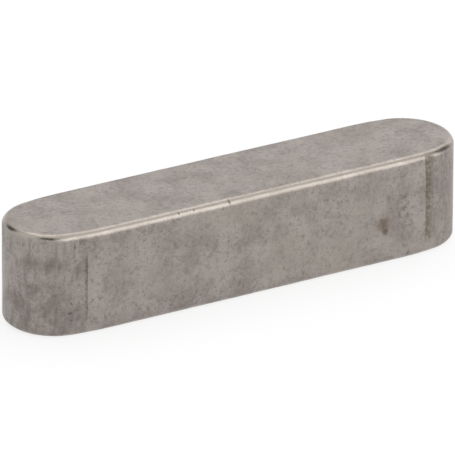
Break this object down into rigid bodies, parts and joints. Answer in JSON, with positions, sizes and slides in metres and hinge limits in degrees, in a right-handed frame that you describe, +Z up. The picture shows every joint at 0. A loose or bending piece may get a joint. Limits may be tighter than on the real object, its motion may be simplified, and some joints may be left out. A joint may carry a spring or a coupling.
{
  "type": "parallel key",
  "caption": "Round-ended parallel key: a short square bar of drawn steel that sits in a shaft's keyway and drives the hub around it.",
  "frame": {"origin": "middle of the face that lies in the shaft's keyway", "axes": "+X along the key, +Y across its width, +Z up from the keyway face to the face under the hub"},
  "size_m": [0.028, 0.006, 0.006],
  "materials": {
    "steel": "bare drawn steel, tumbled to a dull satin with faint darker mottling, smoother on the rounded rims"
  },
  "bodies": {
    "root": {"parallel_key": "steel"}
  },
  "joints": []
}
